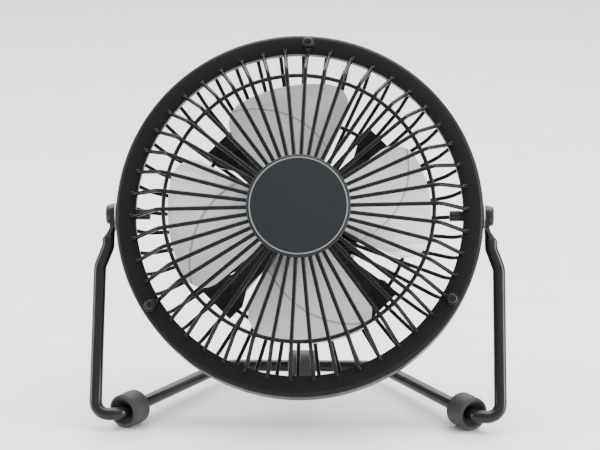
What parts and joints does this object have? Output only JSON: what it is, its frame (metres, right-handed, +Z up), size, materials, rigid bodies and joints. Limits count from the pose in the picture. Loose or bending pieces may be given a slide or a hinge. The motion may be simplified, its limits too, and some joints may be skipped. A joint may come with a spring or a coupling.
{
  "type": "desk fan",
  "caption": "Small metal desk fan: a round wire-guarded head with aluminium blades, tilting between the ends of a bent-rod stand on rubber feet.",
  "frame": {"origin": "on the table, under the middle of the fan's box; the tilt axis is 76 mm up and 5.4 mm ahead of it", "axes": "+Z up, the fan blows towards -Y, +X to the right seen from its front"},
  "size_m": [0.1564, 0.0858, 0.1421],
  "materials": {
    "gunmetal_paint": "gloss gunmetal paint on the bent rod",
    "band_paint": "satin black paint on the band and badge",
    "guard_paint": "gloss black paint on the welded wires",
    "blade_metal": "satin aluminium sheet",
    "bright_steel": "zinc-plated steel",
    "black_steel": "black oxide screws",
    "brass": "turned brass",
    "copper": null,
    "magnet": null,
    "core_steel": "stacked silicon steel",
    "rubber": "matte dark grey rubber",
    "black_plastic": "fine matte black plastic",
    "nylon": "natural nylon"
  },
  "bodies": {
    "stand": {"stand_frame": "gunmetal_paint", "foot_left": "rubber", "foot_right": "rubber", "foot_rear": "rubber", "pivot_washers": "nylon"},
    "head": {"rim_band": "band_paint", "front_guard": "guard_paint", "guard_screws": "black_steel", "centre_badge": "band_paint", "guard_centre_plate": "guard_paint", "rear_guard": "guard_paint", "rear_plate": "guard_paint", "motor_bracket": "guard_paint", "motor_screws": "bright_steel", "motor_can": "bright_steel", "motor_end_cap": "black_plastic", "motor_magnets": "magnet", "motor_front_bush": "brass", "motor_rear_bush": "brass", "motor_brushes": "copper", "motor_terminals": "brass", "motor_cover": "black_plastic", "cover_screws": "black_steel", "cable_grommet": "rubber", "switch_housing": "black_plastic", "switch_terminals": "brass", "pivot_bolts": "black_steel", "spring_washers": "bright_steel", "pivot_nuts": "bright_steel"},
    "rotor": {"motor_shaft": "bright_steel", "armature_core": "core_steel", "armature_coils": "copper", "commutator": "copper", "blade_hub": "brass", "fan_blades": "blade_metal"},
    "switch": {"switch_rocker": "black_plastic"}
  },
  "joints": [
    {"name": "head_tilt", "type": "hinge", "parent": "stand", "child": "head", "pos_m": [0, -0.0054, 0.076], "axis": [1, 0, 0], "continuous": true},
    {"name": "blade_spin", "type": "hinge", "parent": "head", "child": "rotor", "pos_m": [0, -0.0054, 0.076], "axis": [0, -0.9239, 0.3827], "continuous": true},
    {"name": "switch_rock", "type": "hinge", "parent": "head", "child": "switch", "pos_m": [0, 0.03422, 0.05959], "axis": [1, 0, 0], "range_deg": [0, 16]}
  ]
}
